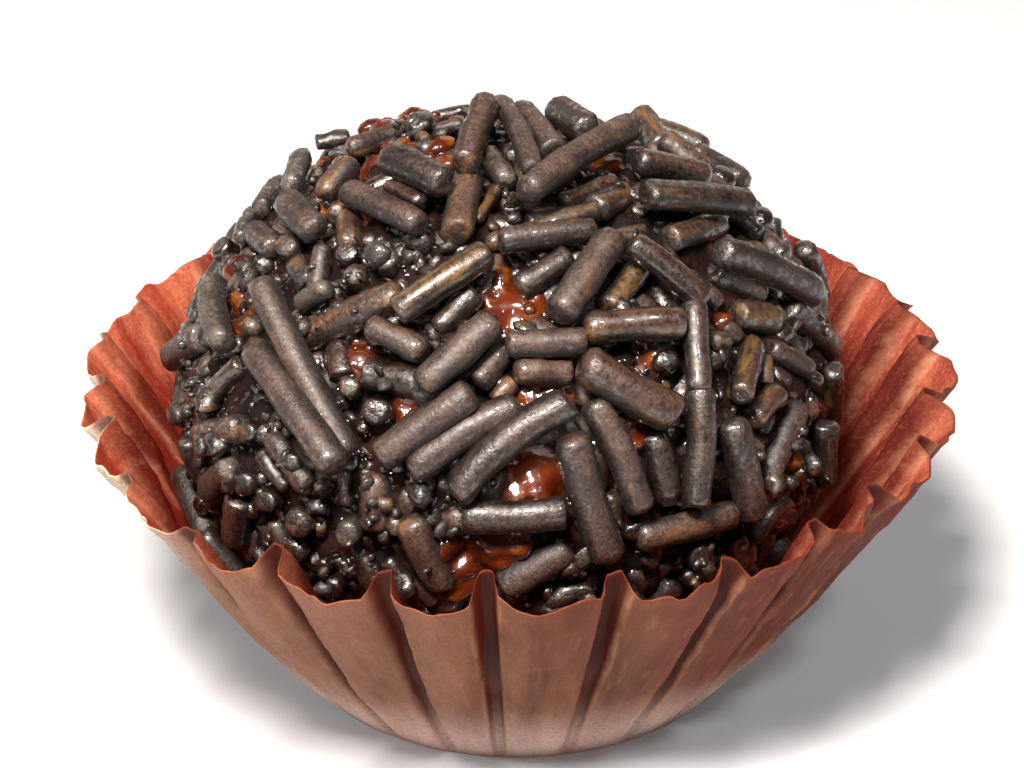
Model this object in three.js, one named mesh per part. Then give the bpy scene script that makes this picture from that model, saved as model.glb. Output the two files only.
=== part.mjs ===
// A brigadeiro: a soft ball of chocolate fudge rolled in chocolate sprinkles, in its fluted paper case.
// Millimetres, +Z up. The ball's weight has flattened it a little, and it rests on the case's flat floor.
// The origin is under the middle of the whole, on the surface that the case stands on.
import * as THREE from 'three';
import { mergeVertices } from 'three/addons/utils/BufferGeometryUtils.js';

// ---- driving dimensions -------------------------------------------------------------------------

const paper = {
  floorRadius: 10.0,
  rimRadius: 19.6, // at the outer ridges
  rimHeight: 13.55, // at the outer ridges; the folds stand a little higher
  bellyRadius: 13.5, // with bellyHeight, the point that bends the wall's curve outwards
  bellyHeight: 3.6,
  thickness: 0.3,
  clearance: 0.35, // from the ball
  foldSharpness: 0.62, // below 1 the ridges are broad and round, and the folds are narrow
  rimBulge: 0.8, // where the ball leans on the wall
  bulgeAngle: 240,
  bulgeWidth: 22,
};

// The flutes in order, from the left side round the front to the right side. Each has the angle of the fold
// before it and of its ridge, in degrees from +X, and how deep that fold is at the rim. The case was pressed
// unevenly, so the front ones are given one by one, and the back ones are spread evenly.
const frontFlutes = [
  { fold: 156.5, ridge: 164.5, depth: 0.55 },
  { fold: 169.8, ridge: 176.5, depth: 0.7 },
  { fold: 182, ridge: 188.5, depth: 1.1 },
  { fold: 195.3, ridge: 201.5, depth: 1.2 },
  { fold: 209.5, ridge: 217, depth: 0.8 },
  { fold: 225.4, ridge: 232.5, depth: 0.7 },
  { fold: 238.6, ridge: 247, depth: 1.6 },
  { fold: 253.3, ridge: 260.3, depth: 1.3 },
  { fold: 265.9, ridge: 273.6, depth: 1.5 },
  { fold: 282.4, ridge: 289.7, depth: 1.25 },
  { fold: 298, ridge: 305.5, depth: 0.85 },
  { fold: 312, ridge: 318.5, depth: 1.1 },
  { fold: 325, ridge: 332.5, depth: 1.2 },
  { fold: 339.5, ridge: 346.5, depth: 0.95 },
  { fold: 353, ridge: 360.5, depth: 1.3 },
  { fold: 367.5, ridge: 374, depth: 1.4 },
  { fold: 379, ridge: 385.8, depth: 1.4 },
];
const backFlutes = { count: 9, start: 392, depth: 1.3 };

const ball = {
  radius: 15.6,
  halfHeight: 12.95,
  centre: new THREE.Vector3(-0.48, -0.1, 13.1),
  restHeight: 0.6, // its flattened underside, just clear of the case's floor
  meshDetail: 12,
};

const sprinkleLump = { count: 170, length: 4.2, width: 2.1, depth: 0.95 };

// ---- the paper case -----------------------------------------------------------------------------

const fullTurn = 360;
const pointsAcrossFlute = [-1, -0.82, -0.56, -0.2, 0.2, 0.56, 0.82]; // -1 is the fold before the ridge
const wallSteps = 6;

/** Every flute, in order once round. */
function allFlutes() {
  const { count, start, depth } = backFlutes;
  const width = (frontFlutes[0].fold + fullTurn - start) / count;
  const back = Array.from({ length: count }, (_, i) => {
    const fold = start + width * i;
    return { fold, ridge: fold + width / 2, depth };
  });
  return [...frontFlutes, ...back];
}

/** The stations round the case: each has its angle in radians and how far it is folded in at the rim. */
function fluteStations() {
  const flutes = allFlutes();
  const firstAgain = { ...flutes[0], fold: flutes[0].fold + fullTurn };
  return flutes.flatMap((flute, i) => {
    const next = flutes[i + 1] ?? firstAgain;
    return pointsAcrossFlute.map((place) => {
      const width = place < 0 ? flute.ridge - flute.fold : next.fold - flute.ridge;
      const depth = place < 0 ? flute.depth : next.depth;
      const share = 1 - Math.cos((Math.PI / 2) * place) ** paper.foldSharpness;
      return { angle: THREE.MathUtils.degToRad(flute.ridge + place * width), foldedIn: depth * share };
    });
  });
}

/** The wall's curve at the ridges: a quadratic curve from the floor's edge, through the belly, to the rim. */
function ridgeProfile() {
  return new THREE.QuadraticBezierCurve(
    new THREE.Vector2(paper.floorRadius, 0),
    new THREE.Vector2(paper.bellyRadius, paper.bellyHeight),
    new THREE.Vector2(paper.rimRadius, paper.rimHeight),
  );
}

/** How far the ball pushes the wall out at an angle, in millimetres at the rim. */
function bulge(angle) {
  const away = THREE.MathUtils.radToDeg(angle) - paper.bulgeAngle;
  return paper.rimBulge * Math.exp(-((away / paper.bulgeWidth) ** 2));
}

/** How far the ball reaches from the axis at an angle and a height: its round section, off centre. */
function ballReach(angle, height) {
  const level = (height - ball.centre.z) / ball.halfHeight;
  const section = ball.radius * Math.sqrt(Math.max(1 - level * level, 0));
  return section + ball.centre.x * Math.cos(angle) + ball.centre.y * Math.sin(angle);
}

/**
 * A point of the wall's outside. The paper keeps its length up the wall, so where a fold brings it
 * towards the axis, it stands higher by Pythagoras. The ball keeps a fold from coming in too far.
 */
function wallPoint(profile, station, up) {
  const ridge = profile.getPoint(up);
  const outwards = ridge.x + bulge(station.angle) * up;
  const slant = ridge.y ** 2 + (outwards - paper.floorRadius) ** 2;
  const heightAt = (radius) => Math.sqrt(slant - (radius - paper.floorRadius) ** 2);
  const folded = outwards - up * station.foldedIn;
  const held = ballReach(station.angle, heightAt(folded)) + paper.clearance + paper.thickness;
  const radius = Math.min(Math.max(folded, held), outwards);
  const [cos, sin] = [Math.cos(station.angle), Math.sin(station.angle)];
  return new THREE.Vector3(radius * cos, radius * sin, heightAt(radius));
}

/** The same point on the wall's inside, one paper thickness nearer to the axis. */
function insidePoint(outside) {
  const radius = Math.hypot(outside.x, outside.y);
  const shrink = (radius - paper.thickness) / radius;
  return new THREE.Vector3(outside.x * shrink, outside.y * shrink, outside.z);
}

/** A closed shell from rings of points, each joined to the next, with a point at either end. */
function closedShell(firstPoint, rings, lastPoint) {
  const around = rings[0].length;
  const points = [firstPoint, ...rings.flat(), lastPoint];
  const last = points.length - 1;
  const at = (ring, i) => 1 + ring * around + (i % around);
  const faces = [];
  for (let i = 0; i < around; i += 1) {
    faces.push(0, at(0, i), at(0, i + 1));
    for (let ring = 0; ring + 1 < rings.length; ring += 1) {
      faces.push(at(ring, i), at(ring + 1, i), at(ring, i + 1));
      faces.push(at(ring, i + 1), at(ring + 1, i), at(ring + 1, i + 1));
    }
    faces.push(at(rings.length - 1, i + 1), at(rings.length - 1, i), last);
  }
  const geometry = new THREE.BufferGeometry().setFromPoints(points);
  geometry.setIndex(faces);
  geometry.computeVertexNormals();
  return geometry;
}

/** The case: up its inside from the middle of the floor, over the rim, and down its outside. */
function paperCaseGeometry() {
  const profile = ridgeProfile();
  const stations = fluteStations();
  const steps = Array.from({ length: wallSteps + 1 }, (_, i) => i / wallSteps);
  const outside = steps.map((up) => stations.map((station) => wallPoint(profile, station, up)));
  const inside = outside.map((ring) => ring.map(insidePoint));
  inside[0].forEach((point) => point.setZ(paper.thickness));
  const floorTop = new THREE.Vector3(0, 0, paper.thickness);
  const floorUnder = new THREE.Vector3(0, 0, 0);
  return closedShell(floorTop, [...inside, ...outside.reverse()], floorUnder);
}

// ---- the coated ball ----------------------------------------------------------------------------

const goldenAngle = Math.PI * (3 - Math.sqrt(5));

/** Sprinkles spread evenly over a sphere on a golden spiral, each lying in its own direction. */
function sprinkleLumps() {
  return Array.from({ length: sprinkleLump.count }, (_, i) => {
    const height = 1 - (2 * i + 1) / sprinkleLump.count;
    const ringRadius = Math.sqrt(1 - height * height);
    const turn = goldenAngle * i;
    const middle = new THREE.Vector3(ringRadius * Math.cos(turn), ringRadius * Math.sin(turn), height);
    const heading = new THREE.Vector3(Math.sin(turn * i), Math.cos(turn * i), Math.sin(i));
    const along = heading.projectOnPlane(middle).normalize();
    return { middle, along, across: new THREE.Vector3().crossVectors(middle, along) };
  });
}

/** How far the coat stands out in a direction, from 0 between sprinkles to 1 on the crown of one. */
function coatHeight(direction, lumps) {
  const halfLength = (sprinkleLump.length - sprinkleLump.width) / 2;
  const offset = new THREE.Vector3();
  return lumps.reduce((highest, lump) => {
    offset.copy(direction).sub(lump.middle).multiplyScalar(ball.radius);
    const pastEnd = Math.max(Math.abs(offset.dot(lump.along)) - halfLength, 0);
    const away = Math.hypot(pastEnd, offset.dot(lump.across)) / (sprinkleLump.width / 2);
    return away < 1 ? Math.max(highest, Math.sqrt(1 - away * away)) : highest;
  }, 0);
}

/** A flattened sphere out to the uneven outline of its sprinkles, cut level where it rests. */
function coatedBallGeometry() {
  const geometry = new THREE.IcosahedronGeometry(1, ball.meshDetail);
  geometry.deleteAttribute('normal');
  geometry.deleteAttribute('uv');
  const merged = mergeVertices(geometry);
  const lumps = sprinkleLumps();
  const place = merged.getAttribute('position');
  const point = new THREE.Vector3();
  for (let i = 0; i < place.count; i += 1) {
    point.fromBufferAttribute(place, i).normalize();
    const sunk = sprinkleLump.depth * (1 - coatHeight(point, lumps));
    const reach = new THREE.Vector3(ball.radius - sunk, ball.radius - sunk, ball.halfHeight - sunk);
    point.multiply(reach).add(ball.centre);
    place.setXYZ(i, point.x, point.y, Math.max(point.z, ball.restHeight));
  }
  merged.computeVertexNormals();
  return merged;
}

// ---- the scene ----------------------------------------------------------------------------------

/** A named piece with its own material. */
function piece(name, geometry, color, roughness) {
  const mesh = new THREE.Mesh(geometry, new THREE.MeshStandardMaterial({ color, roughness, metalness: 0 }));
  mesh.name = name;
  return mesh;
}

const brigadeiro = new THREE.Group();
brigadeiro.add(piece('paper_case', paperCaseGeometry(), 0x8a5a48, 0.7));
brigadeiro.add(piece('coated_ball', coatedBallGeometry(), 0x33231f, 0.45));

const middle = new THREE.Box3().setFromObject(brigadeiro).getCenter(new THREE.Vector3());
brigadeiro.position.set(-middle.x, -middle.y, 0);

export default brigadeiro;
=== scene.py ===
# %% [markdown]
# # A brigadeiro in its paper case
#
# A brigadeiro is a ball of soft chocolate fudge, rolled in chocolate sprinkles and set in a fluted paper
# case. Three things are made here: the thin pleated paper, the sticky ball, and the sprinkles that are
# pressed into it. Each is a surface worked out with numpy, because food is uneven, and a formula with a
# little noise in it is an easy way to be uneven on purpose. The solid model is loaded first, as the frame
# that every piece has to fit.

# %% The frame and the tools
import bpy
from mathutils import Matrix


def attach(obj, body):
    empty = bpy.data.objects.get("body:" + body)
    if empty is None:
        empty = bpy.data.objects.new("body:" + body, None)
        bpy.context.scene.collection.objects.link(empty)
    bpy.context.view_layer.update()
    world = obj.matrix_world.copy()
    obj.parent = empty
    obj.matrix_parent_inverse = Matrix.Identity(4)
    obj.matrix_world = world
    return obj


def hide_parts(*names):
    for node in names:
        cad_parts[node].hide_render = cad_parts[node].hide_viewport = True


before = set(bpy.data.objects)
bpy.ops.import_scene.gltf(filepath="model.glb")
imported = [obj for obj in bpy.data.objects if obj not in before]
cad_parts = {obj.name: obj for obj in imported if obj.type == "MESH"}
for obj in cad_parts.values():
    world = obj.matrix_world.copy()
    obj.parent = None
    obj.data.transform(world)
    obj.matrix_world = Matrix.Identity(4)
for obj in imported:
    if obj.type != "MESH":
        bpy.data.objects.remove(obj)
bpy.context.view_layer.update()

from types import SimpleNamespace

import bpy
import numpy as np
from mathutils import Vector

MM = 0.001
FULL_TURN = 360.0

# %% [markdown]
# ## The camera
#
# Food of this size is shot with a long lens from a short way off, so its near and far sides look alike in
# size. The camera could be aimed by hand, but it is also needed as a formula: the sprinkles that face it
# are laid where their ends show in its picture. So its place, aim and focal length are numbers, and a small
# function turns a point of the picture into a ray.

# %% The camera
# The picture's size, and where the camera's aim shows in it, in pixels.
picture = SimpleNamespace(width=1024, height=768, centre_x=517, centre_y=381)
camera_aim = np.array([0.0, 0.0, 13.55])  # mm, on the case's axis at the height of its rim
camera_distance = 180.0  # mm
camera_tilt = np.radians(28.55)  # below the horizon
focal_pixels = 4008.5
MM_PER_PIXEL = camera_distance / focal_pixels  # at the ball
SENSOR_WIDTH = 36.0  # mm

forward = np.array([0.0, np.cos(camera_tilt), -np.sin(camera_tilt)])
rightward = np.array([1.0, 0.0, 0.0])
upward = np.cross(rightward, forward)
camera_place = camera_aim - camera_distance * forward


def rays(x, y):
    """Directions from the camera through picture points: ahead, plus the point's offsets across and up."""
    across = (np.asarray(x, float) - picture.centre_x)[..., None] * rightward
    up = (np.asarray(y, float) - picture.centre_y)[..., None] * upward
    return forward * focal_pixels + across - up


def depth_of(points):
    """How far ahead of the camera points lie, in millimetres."""
    return (points - camera_place) @ forward


print("camera at", camera_place.round(1), "mm")

# %% [markdown]
# ## Helpers
#
# Noise makes a formula look like food. Blender has noise textures for its shaders, but a shape needs its
# own, so here is the simplest kind: many plane waves in random directions, added up. The others join
# neighbours on a grid of points into faces, and the last puts points and faces into a mesh at once.

# %% Helpers


def ripples(points, wavelength, seed, waves=28):
    """Smooth noise, mostly from -1.5 to 1.5: sine waves of about the given length in random directions,
    summed and divided by the root of half their number."""
    rng = np.random.default_rng(seed)
    directions = rng.normal(size=(waves, 3))
    directions /= np.linalg.norm(directions, axis=1, keepdims=True)
    rates = 2 * np.pi / wavelength * rng.uniform(0.7, 1.4, (waves, 1))
    phases = rng.uniform(0, 2 * np.pi, waves)
    return np.sin(points @ (directions * rates).T + phases).sum(-1) / np.sqrt(waves / 2)


def relief(points, *layers):
    """Noise of several sizes added up. Each layer is its depth in mm, its wavelength and its seed."""
    return sum(depth * ripples(points, wavelength, seed) for depth, wavelength, seed in layers)


def unit(vectors):
    """Vectors of the same directions and length one."""
    return vectors / np.maximum(np.linalg.norm(vectors, axis=-1, keepdims=True), 1e-9)


def grid_quads(rows, columns):
    """Four-sided faces that join each row of a grid to the next, closed from the last column to the first."""
    row, column = np.meshgrid(np.arange(rows - 1), np.arange(columns), indexing="ij")
    after = (column + 1) % columns
    corners = [row * columns + column, row * columns + after, (row + 1) * columns + after]
    corners.append((row + 1) * columns + column)
    return np.stack(corners, -1).reshape(-1, 4)


def tube_faces(count, rings, sides, first=0):
    """Faces of many alike tubes, one after another: rings joined to rings. Each end is almost a point."""
    step = np.arange(count)[:, None, None] * rings * sides
    return (first + grid_quads(rings, sides) + step).reshape(-1, 4)


def sphere_grid(latitude, columns):
    """Directions on a grid: the given latitudes, and longitudes that are evenly spread."""
    longitude = 2 * np.pi * np.arange(columns) / columns
    flat = np.cos(latitude)[:, None]
    height = np.sin(latitude)[:, None]
    return np.stack([flat * np.cos(longitude), flat * np.sin(longitude), height + 0 * longitude], -1)


def fan(tip, ring, turned):
    """Three-sided faces from a tip to each pair of neighbours on a ring, turned the other way if asked."""
    after = np.roll(ring, -1)
    sides = (after, ring) if turned else (ring, after)
    return np.stack([np.full_like(ring, tip), *sides], -1)


def skin_faces(rows, columns, turned):
    """Faces of a closed skin: rings joined to rings, and a fan to the first ring and one to the last. The two
    tips are its last two points."""
    ring = np.arange(columns)
    count = rows * columns
    last = fan(count + 1, ring + count - columns, not turned)
    return [grid_quads(rows, columns), fan(count, ring, turned), last]


def make_piece(name, points, faces, slot, **numbers):
    """A mesh object from points in millimetres on the frame's axes, arrays of faces, and numbers for each
    point, which become attributes that a material can read."""
    mesh = bpy.data.meshes.new(name)
    corners = np.concatenate([part.ravel() for part in faces])
    sides = np.concatenate([np.full(len(part), part.shape[1]) for part in faces])
    mesh.vertices.add(len(points))
    mesh.vertices.foreach_set("co", (points * MM).astype(np.float32).ravel())
    mesh.loops.add(len(corners))
    mesh.loops.foreach_set("vertex_index", corners.astype(np.int32))
    mesh.polygons.add(len(sides))
    mesh.polygons.foreach_set("loop_start", (np.cumsum(sides) - sides).astype(np.int32))
    mesh.polygons.foreach_set("use_smooth", np.ones(len(sides), bool))
    for key, values in numbers.items():
        kind, field = ("FLOAT_VECTOR", "vector") if np.ndim(values) == 2 else ("FLOAT", "value")
        mesh.attributes.new(key, kind, "POINT").data.foreach_set(field, values.astype(np.float32).ravel())
    mesh.update(calc_edges=True)
    mesh.validate()
    made = bpy.data.objects.new(name, mesh)
    bpy.context.scene.collection.objects.link(made)
    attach(made, "root")
    print(name, "has", int((sides - 2).sum()), "triangles")
    return made


# %% [markdown]
# ## The paper case
#
# The case starts as a flat round of thin brown paper. A press pleats its margin into flutes and bends them
# up, so the paper's length up the wall never changes: where a fold comes nearer to the axis, it also stands
# higher. That is why the rim is a row of drooping lobes with a peak at each fold. The wall could be bent
# with modifiers, but it is one formula of two numbers: the angle round the axis and the way up the wall.

# %% The case's dimensions
paper = SimpleNamespace(
    floor_radius=10.0,
    rim_radius=19.6,  # at the outer ridges
    rim_height=13.55,
    belly_radius=13.5,  # with belly_height, the point that bends the wall's curve outwards
    belly_height=3.6,
    thickness=0.09,
    fold_sharpness=0.62,  # below 1 the ridges are broad and round, and the folds are narrow
    pinch_share=0.6,  # of a fold's depth, in a narrow pinch
    pinch_floor=0.95,  # degrees, from the middle of the pinch to the foot of its side
    pinch_edge=1.7,  # degrees, to the crease at the top of its side
    round_share=0.88,  # of a flute's half width, that is rounded: the rest is the fold's flat bottom
    sharp_angle=318.0,  # where the paper runs straight from crease to crease
    sharp_width=22.0,
    sharp_share=0.8,  # how straight it runs there
    rim_bulge=0.8,  # where the ball leans on the wall
    bulge_angle=240.0,
    bulge_width=22.0,
    clearance=0.65,  # from the ball to the paper's outside
)
# The flutes in order, from the left side round the front to the right side: the angle of the fold before
# it, the angle of its ridge, both in degrees from +X, and how deep that fold is at the rim, in mm.
front_flutes = np.array([
    (156.5, 164.5, 0.55), (169.8, 176.5, 0.7), (182, 188.5, 1.1), (195.3, 201.5, 1.2), (209.5, 217, 0.8),
    (225.4, 232.5, 0.7), (238.6, 247, 1.6), (253.3, 260.3, 1.3), (265.9, 273.6, 1.5), (282.4, 289.7, 1.25),
    (298, 305.5, 0.85), (312, 318.5, 1.1), (325, 332.5, 1.2), (339.5, 346.5, 0.95), (353, 360.5, 1.3),
    (367.5, 374, 1.4), (379, 385.8, 1.4),
])
back_flutes = SimpleNamespace(count=9, start=392.0, depth=1.3)  # spread evenly
ball = SimpleNamespace(radius=15.6, half_height=12.95, centre=np.array([-0.48, -0.1, 13.1]), rest_height=0.6)

back_width = (front_flutes[0, 0] + FULL_TURN - back_flutes.start) / back_flutes.count
back_folds = back_flutes.start + back_width * np.arange(back_flutes.count)
folds = np.append(front_flutes[:, 0], back_folds)
ridges = np.append(front_flutes[:, 1], back_folds + back_width / 2)
fold_depths = np.append(front_flutes[:, 2], np.full(back_flutes.count, back_flutes.depth))
print(len(ridges), "flutes")

# %% The case's wall


def around(places):
    """Angles in degrees, and the nearest fold's depth, at places across every flute: -1 is the fold before
    its ridge, 0 the ridge and 1 the fold after it."""
    before = (places < 0)[None, :]
    width_before = (ridges - folds)[:, None]
    width_after = (np.append(folds[1:], folds[0] + FULL_TURN) - ridges)[:, None]
    degrees = ridges[:, None] + places[None, :] * np.where(before, width_before, width_after)
    depth = np.where(before, fold_depths[:, None], np.roll(fold_depths, -1)[:, None])
    return degrees.ravel(), depth.ravel()


def ridge_profile(up):
    """Radius and height at the ridges: a quadratic curve from the floor's edge, bent by the belly, to the
    rim."""
    weights = np.stack([(1 - up) ** 2, 2 * up * (1 - up), up**2])
    return (
        weights.T @ np.array([paper.floor_radius, paper.belly_radius, paper.rim_radius]),
        weights.T @ np.array([0.0, paper.belly_height, paper.rim_height]),
    )


def ball_reach(angle, height):
    """How far the ball reaches from the case's axis: its round section at a height, off centre."""
    level = (height - ball.centre[2]) / ball.half_height
    section = ball.radius * np.sqrt(np.maximum(1 - level**2, 0))
    return section + ball.centre[0] * np.cos(angle) + ball.centre[1] * np.sin(angle)


def wall(up, degrees, folded_in):
    """Radius and height of the wall's outside. A fold comes in by so many millimetres at the rim, and the
    slant length from the floor's edge is kept by Pythagoras. The ball holds back a fold that comes in too
    far."""
    angle = np.radians(degrees)[None, :]
    ridge_radius, ridge_height = (side[:, None] for side in ridge_profile(up))
    up = up[:, None]
    bulge = paper.rim_bulge * np.exp(-(((degrees[None, :] - paper.bulge_angle) / paper.bulge_width) ** 2))
    outwards = ridge_radius + bulge * up
    slant = ridge_height**2 + (outwards - paper.floor_radius) ** 2
    folded = outwards - up * folded_in
    height = np.sqrt(np.maximum(slant - (folded - paper.floor_radius) ** 2, 0))
    held = ball_reach(angle, height) + paper.clearance
    radius = np.minimum(np.maximum(folded, held), outwards)
    return radius, np.sqrt(np.maximum(slant - (radius - paper.floor_radius) ** 2, 0))


def round_fold(places):
    """How far in the paper is folded, 0 to 1, across a flute: a cosine raised to a power below one."""
    return 1 - np.cos(np.pi / 2 * places) ** paper.fold_sharpness


def pinch_at(degrees):
    """How far down a pinch the paper is at angles in degrees, 0 to 1: a flat bottom and straight steep
    sides. The second result is the angle from the crease at the top of the nearest side."""
    every_fold = np.concatenate([folds - FULL_TURN, folds, folds + FULL_TURN])
    away = np.abs(degrees[:, None] - every_fold).min(1)
    side = (away - paper.pinch_floor) / (paper.pinch_edge - paper.pinch_floor)
    return 1 - np.clip(side, 0, 1), away - paper.pinch_edge


def pinched_fold(places, degrees, up):
    """The same fold as the press leaves it. Part of its depth is in a narrow pinch between two creases,
    which stays deep down to the floor. From the right of the front the sheet also runs straight from crease
    to crease."""
    straight = paper.sharp_share * np.exp(-(((degrees - paper.sharp_angle) / paper.sharp_width) ** 4))
    held = np.tile(np.minimum(np.abs(places), paper.round_share), len(ridges))
    broad = (1 - straight) * round_fold(held) / round_fold(paper.round_share)
    broad += straight * held / paper.round_share
    deeper_below = up[:, None] ** -0.2
    return (1 - paper.pinch_share) * broad + paper.pinch_share * pinch_at(degrees)[0] * deeper_below


def axis_offset():
    """From the case's axis to the frame's origin, which is under the middle of the whole: the middle of the
    rim's own box, at the solid model's stations."""
    stations = np.array([-1, -0.82, -0.56, -0.2, 0.2, 0.56, 0.82])
    degrees, depth = around(stations)
    radius = wall(np.linspace(0, 1, 7), degrees, depth * np.tile(round_fold(stations), len(ridges)))[0]
    x, y = radius * np.cos(np.radians(degrees)), radius * np.sin(np.radians(degrees))
    return np.array([(x.min() + x.max()) / 2, (y.min() + y.max()) / 2, 0.0])


offset = axis_offset()
print("axis offset", offset.round(3))

# %% The case's surface
ACROSS_FLUTE, UP_WALL, ACROSS_FLOOR = 28, 44, 8  # points of the grid
NOISE_CIRCLE = 19.0  # mm, the round on which noise along the wall is read


def case_surface():
    """The paper as one closed skin: from the middle of the floor up the inside, over the cut edge, down the
    outside and back under the floor. The sheet is the wall's formula, creased by noise that runs up the
    wall and grows towards the wavy rim, and the inside is that sheet moved in by the paper's thickness."""
    even = np.linspace(-1, 1, ACROSS_FLUTE, endpoint=False)
    places = even + 0.62 * np.sin(np.pi * even) / np.pi  # closer together at the folds
    degrees, depth = around(places)
    up = 1 - np.linspace(1, 0, UP_WALL) ** 1.3  # closer together at the rim
    share = pinched_fold(places, degrees, np.maximum(up, 0.08))
    radius, height = wall(up, degrees, depth * share)
    angle = np.radians(degrees)[None, :]
    points = np.stack([radius * np.cos(angle), radius * np.sin(angle), height + 0 * angle], -1)
    round_wall = NOISE_CIRCLE * np.stack([np.cos(angle[0]), np.sin(angle[0]), 0 * angle[0]], -1)
    along_rim = round_wall[None] + up[:, None, None] * [0, 0, 4.0]  # its noise runs up the wall in streaks
    crinkle = relief(along_rim, (0.05, 3.2, 21), (0.018, 0.9, 22))
    crinkle += relief(points, (0.035, 3.4, 23), (0.024, 1.3, 27))
    at_rim = (np.clip((up - 0.9) / 0.1, 0, 1) ** 2)[:, None]
    crinkle += at_rim * relief(round_wall, (0.17, 2.6, 24))[None]
    points[..., 2] += at_rim * relief(round_wall, (0.1, 1.5, 25), (0.03, 0.6, 26))[None]
    outward = unit(np.stack([np.cos(angle) + 0 * height, np.sin(angle) + 0 * height, -0.35 + 0 * height], -1))
    points = points + outward * (crinkle * np.minimum(up * 2.2, 1)[:, None])[..., None]
    inside = points - outward * paper.thickness
    inside[0, :, 2] = paper.thickness
    points[0, :, 2] = 0
    share = np.linspace(0, 1, ACROSS_FLOOR + 1)[1:-1, None, None]
    floor_in = inside[0] * share * [1, 1, 0] + [0, 0, paper.thickness]
    floor_out = points[0] * share * [1, 1, 0]
    edge = (inside[-1] + points[-1]) / 2 + [0, 0, paper.thickness * 0.4]
    rings = np.concatenate([floor_in, inside, edge[None], points[::-1], floor_out[::-1]])
    rows, columns = rings.shape[:2]
    tips = np.array([[0, 0, paper.thickness], [0, 0, 0.0]])
    gap = np.linalg.norm(rings[..., :2], axis=-1) - ball_reach(angle, rings[..., 2])
    # How near the ball the paper is, for the ball's painted shade on the inside, more on the right.
    close = np.clip((3.2 + 0.6 * np.cos(angle) - gap) / 1.7, 0, 1).ravel()
    within = np.repeat(np.arange(rows) < len(floor_in) + len(inside), columns)
    way_up = np.concatenate([0 * share.ravel(), up, [1.0], up[::-1], 0 * share.ravel()])
    pinch, from_crease = (np.tile(values, rows) for values in pinch_at(degrees))
    # Where a painted highlight runs along each crease, at the top of a pinch's side.
    crease_highlight = np.exp(-((from_crease / 0.22) ** 2))
    grain = np.tile(round_wall, (rows, 1)) + np.outer(0.25 * rings[..., 2].ravel() + 7 * within, [0, 0, 1])
    return np.concatenate([rings.reshape(-1, 3), tips]), skin_faces(rows, columns, False), dict(
        inside=np.append(within, [1, 0]), up=np.append(np.repeat(way_up, columns), [0, 0]),
        crease_highlight=np.append(crease_highlight, [0, 0]), pinch=np.append(pinch, [0, 0]), close=np.append(close, [1, 1]),
        grain=np.concatenate([grain, np.zeros((2, 3))]) * MM,
    )


case_points, case_faces, case_numbers = case_surface()
paper_case = make_piece("pleated_paper_case", case_points - offset, case_faces, "brown_paper", **case_numbers)
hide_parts("paper_case")

# %% [markdown]
# ## Where the sprinkles lie
#
# Sprinkles are short rods of dark chocolate, cut to uneven lengths. Rolling the ball presses a first layer
# into the fudge, and more catch on top of it. They could be scattered by chance alone, but the ones that
# face the camera give this sweet its character, so those are laid one by one: each row says where a rod's
# two ends show in the camera's picture, how wide it looks, which layer it lies in (0 sunk to 3 on top) and
# its finish. A ray through each end meets the ball at the height of that layer, so every rod lies on the
# ball and not just before it.

# %% The ball's core and how a picture point lands on it
coat_depth = 1.7  # from the fudge to the top of the coat
core = ball.radius - coat_depth
core_half_height = ball.half_height - coat_depth
core_reach = np.array([core, core, core_half_height])
layer_heights = np.array([0.15, 0.55, 1.1, 1.55])  # of a rod's axis above the fudge


def on_ball(x, y, height):
    """The points at a height above the fudge where picture points land. In space scaled to make the ball
    round, a ray meets it where the distance from the centre is one. A ray that misses gives the nearest
    point."""
    reach = core_reach + np.asarray(height)[..., None]
    start = (camera_place - ball.centre) / reach
    along = unit(rays(x, y) / reach)
    nearest = (start * along).sum(-1, keepdims=True)
    miss = (start * start).sum(-1, keepdims=True) - nearest**2
    back = np.sqrt(np.maximum(1 - miss, 0))
    return ball.centre + unit(start - (nearest + back) * along) * reach


def outward_at(points):
    """The direction straight out of the ball at points on or near it."""
    return unit((points - ball.centre) / core_reach**2)


print("the middle of the picture lands at", on_ball(picture.centre_x, picture.centre_y, 0).round(2))

# %% [markdown]
# The finishes are dark (plain, where a row names none), brown, golden (a thin film of syrup with the light
# on it), pale (dusty grey, and on rods at the ball's edge a painted sheen of grazing light) and wet.

# %% The sprinkles that face the camera
FINISHES = DARK, BROWN, GOLDEN, PALE, WET = range(5)
GOLDEN_RATIO = 0.618
crown = [
    (485, 110, 467, 158, 30, 2, BROWN), (478, 107, 506, 105, 18, 0), (501, 106, 530, 166, 22, 2),
    (525, 116, 551, 148, 30, 1), (560, 113, 583, 128, 32, 1), (535, 187, 624, 131, 32, 3),
    (506, 106, 550, 104, 16, 0), (578, 112, 612, 121, 16, 0), (645, 122, 655, 142, 28, 1, BROWN),
    (626, 116, 645, 120, 20, 1), (652, 119, 660, 125, 13, 0), (495, 242, 590, 212, 20, 1, GOLDEN),
    (512, 240, 582, 232, 28, 2), (566, 200, 608, 183, 18, 0, GOLDEN), (600, 206, 621, 198, 28, 1, GOLDEN),
    (492, 160, 505, 178, 26, 1, PALE), (478, 218, 496, 190, 13, 1, GOLDEN),
    (465, 188, 458, 224, 34, 1, BROWN), (500, 190, 503, 193, 14, 0, BROWN),
    (430, 114, 456, 108, 16, 1, BROWN), (431, 131, 457, 125, 13, 1, BROWN), (455, 107, 466, 114, 14, 0),
    (416, 133, 424, 139, 14, 1, BROWN), (436, 150, 452, 152, 14, 0, BROWN),
]
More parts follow.
